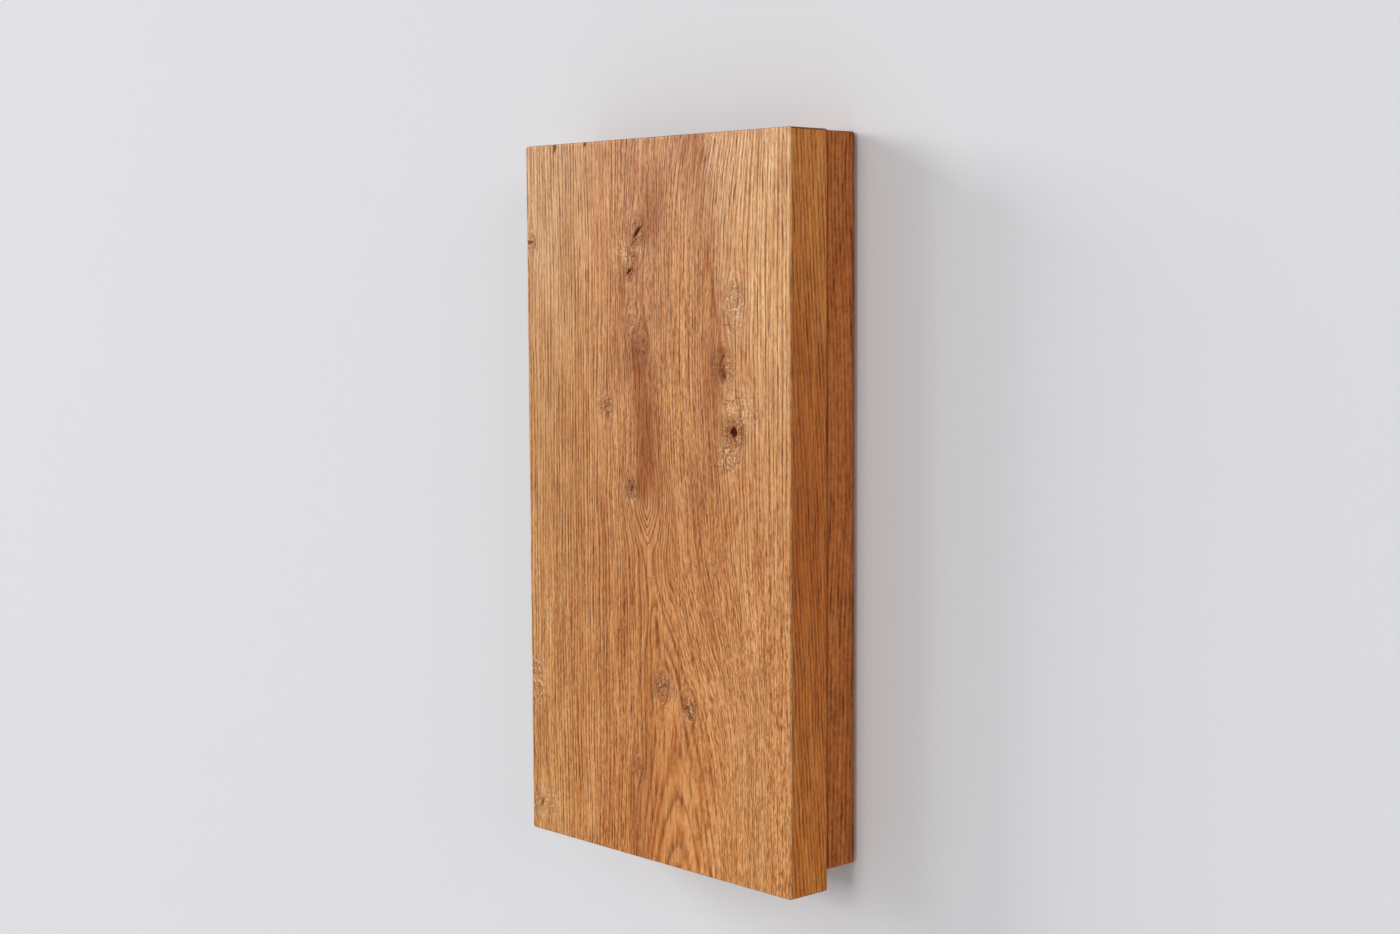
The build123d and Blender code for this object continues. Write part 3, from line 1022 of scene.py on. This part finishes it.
acrylic = Finish("clear_acrylic")
scratch = acrylic.spread(acrylic.texture((2600, 2600, 30), 2, 0.6), 0.60, 0.70)
smear = acrylic.texture((45, 45, 25), 3, 0.6)
ripple = acrylic.texture((70, 70, 20), 2, 0.5) * (6 * mm)
above_water = acrylic.split(acrylic.place)[2] - (water_level - 3 * mm) + ripple
chalk = acrylic.spread(acrylic.calc("ABSOLUTE", above_water), 3.5 * mm, 0, 0, 0.22)
used = scratch * 0.10 + (acrylic.spread(smear, 0.5, 0.75, 0, 0.05) + chalk)
acrylic.surface(
    base_color=acrylic.blend(chalk, clear_tint, chalk_tint),
    roughness=used + 0.01,
    ior=acrylic_ior,
    transmission_weight=1,
)
acrylic.bump(scratch + smear, 0.02 * mm)
paint_node("water_liner", acrylic)
for light_ray in ("visible_shadow", "visible_diffuse"):
    setattr(nodes["water_liner"], light_ray, False)
print("water stood", round((water_level - liner_lo[2]) / mm), "mm deep")

# %% [markdown]
# ## Keyhole plates and screws
# The plates are punched from zinc-plated sheet, and zinc cools in flat crystals of slightly different grey.
# Each cell of a Voronoi texture is one crystal. The screws are yellow-passivated zinc, which shimmers from
# straw to pale green, and a driver has scuffed their heads.

# %% Plate finish
dark_zinc, light_zinc, stained_zinc = (0.55, 0.56, 0.57), (0.68, 0.69, 0.70), (0.42, 0.42, 0.41)

zinc = Finish("zinc_plated_steel")
crystals = {"Vector": zinc.scaled((260, 260, 260)), "Randomness": 1}
crystal = zinc.split(zinc.add("TexVoronoi", crystals, "Color"))[0]
brushed = zinc.texture((180, 180, 4200), 3, 0.6)
stain = zinc.spread(zinc.texture((120, 120, 120), 4, 0.65), 0.52, 0.72)
steel = zinc.blend(stain * 0.5, zinc.blend(crystal, dark_zinc, light_zinc), stained_zinc)
plate_roughness = crystal * 0.08 + (stain * 0.22 + 0.28) + brushed * 0.08
zinc.surface(base_color=steel, metallic=1, roughness=plate_roughness)
zinc.bump(brushed + crystal * 0.4, 0.03 * mm)
for plate in ("hanger_plate_left", "hanger_plate_right"):
    paint_node(plate, zinc)
zinc.report()

# %% Screw finish
straw_yellow, pale_yellow, pale_green = (0.66, 0.54, 0.30), (0.70, 0.62, 0.40), (0.58, 0.62, 0.44)
bare_steel = (0.62, 0.61, 0.58)

straw = Finish("screw_steel")
shimmer = straw.texture((420, 420, 420), 2, 0.5)
scuff = straw.spread(straw.texture((900, 900, 900), 4, 0.7), 0.54, 0.66)
yellow = straw.ramp(shimmer, (0.35, straw_yellow), (0.5, pale_yellow), (0.65, pale_green))
screw_colour = straw.blend(scuff, yellow, bare_steel)
straw.surface(base_color=screw_colour, metallic=1, roughness=scuff * 0.22 + 0.30)
straw.bump(scuff, 0.03 * mm)
paint_node("hanger_screws", straw)
straw.report()

# %% [markdown]
# ## Felt feet
# Four discs of pressed wool felt keep the back off the wall. A cut felt disc has a soft rim and an uneven
# face, so each one is carried round a profile: up the rim, over a rounded edge and in to the middle, with the
# radius and the height stirred by noise. The finish is fuzzy: fibres in all directions, and a sheen at
# grazing angles.

# %% Felt profile
pad_lo, pad_hi = (np.array(corner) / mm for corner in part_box("wall_pads"))
pad_thickness = pad_hi[1] - pad_lo[1]
pad_radius, pad_round, pole_radius = 5.0, 0.45, 0.15
turn_count, edge_count, face_count = 96, 6, 14

pad_turns = np.linspace(0, 2 * pi, turn_count, endpoint=False)
edge_turns = np.linspace(0, pi / 2, edge_count)
face_radius = pad_radius - pad_round
pad_r = np.concatenate([
    [pad_radius],
    face_radius + pad_round * np.cos(edge_turns),
    np.linspace(face_radius, pole_radius, face_count)[1:],
])
pad_y = np.concatenate([
    [0],
    pad_thickness - pad_round + pad_round * np.sin(edge_turns),
    np.full(face_count - 1, pad_thickness),
])
print("felt profile:", len(pad_r), "points")

# %% Felt discs
rim_draw, face_press, middle_height, felt_seed = 0.03, 0.2, 0.9, 50


def felt_disc(centre_x, centre_z, seed):
    """Points of one disc: profile radius and height round a full turn, then the middle of its face. Noise
    draws the rim in by up to 0.15 mm and presses the face down by up to 0.2 mm."""
    turn, r = np.meshgrid(pad_turns, pad_r)
    y = np.repeat(pad_y[:, None], turn_count, axis=1)
    r = r * (1 - rim_draw * soft_noise(4 * np.cos(turn) + 20, 4 * np.sin(turn) + 20, seed))
    x, z = r * np.cos(turn), r * np.sin(turn)
    y = y - face_press * (y / pad_thickness) * soft_noise(x / 0.7 + 30, z / 0.7 + 30, seed + 1)
    points = np.stack([centre_x + x, pad_lo[1] + y, centre_z + z], axis=-1).reshape(-1, 3)
    return np.vstack([points, [[centre_x, pad_lo[1] + middle_height * pad_thickness, centre_z]]])


pad_across = (pad_lo[0] + pad_radius, pad_hi[0] - pad_radius)
pad_levels = (pad_lo[2] + pad_radius, pad_hi[2] - pad_radius)
pad_places = [(x, z) for x in pad_across for z in pad_levels]
felt_points = np.vstack([felt_disc(x, z, felt_seed + 2 * i) for i, (x, z) in enumerate(pad_places)])
print("felt points:", len(felt_points))

# %% Felt faces
disc_numbers = np.arange(len(pad_r) * turn_count).reshape(len(pad_r), turn_count)
first_ring, last_ring, middle_number = disc_numbers[0], disc_numbers[-1], disc_numbers.size
disc_size = middle_number + 1
disc_middle = np.stack([last_ring, np.roll(last_ring, -1), np.full(turn_count, middle_number)], axis=-1)
disc_quads = grid_quads(disc_numbers, closed=True)
disc_faces = [*disc_quads.tolist(), *disc_middle.tolist(), first_ring[::-1].tolist()]
felt_faces = [
    [disc_size * i + number for number in face] for i in range(len(pad_places)) for face in disc_faces
]
felt_feet = mesh_piece("felt_feet", felt_points, felt_faces)
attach(felt_feet, "vase")
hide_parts("wall_pads")
print("felt feet:", len(felt_faces), "faces")

# %% Felt finish
dark_wool, light_wool, worn_wool = (0.055, 0.047, 0.040), (0.135, 0.118, 0.100), (0.10, 0.088, 0.075)

felt = Finish("felt")
lint = felt.texture((1500, 1500, 1500), 4, 0.7, 1.6)
patch = felt.texture((260, 260, 260), 2, 0.5)
wool = felt.blend(felt.spread(lint, 0.38, 0.64), dark_wool, light_wool)
wool = felt.blend(felt.spread(patch, 0.4, 0.65, 0, 0.5), wool, worn_wool)
felt.surface(base_color=wool, roughness=felt.spread(lint, 0.3, 0.7, 0.85, 1), sheen_weight=0.4)
felt.bump(lint, 0.3 * mm)
felt_feet.data.materials.append(felt.material)
felt.report()
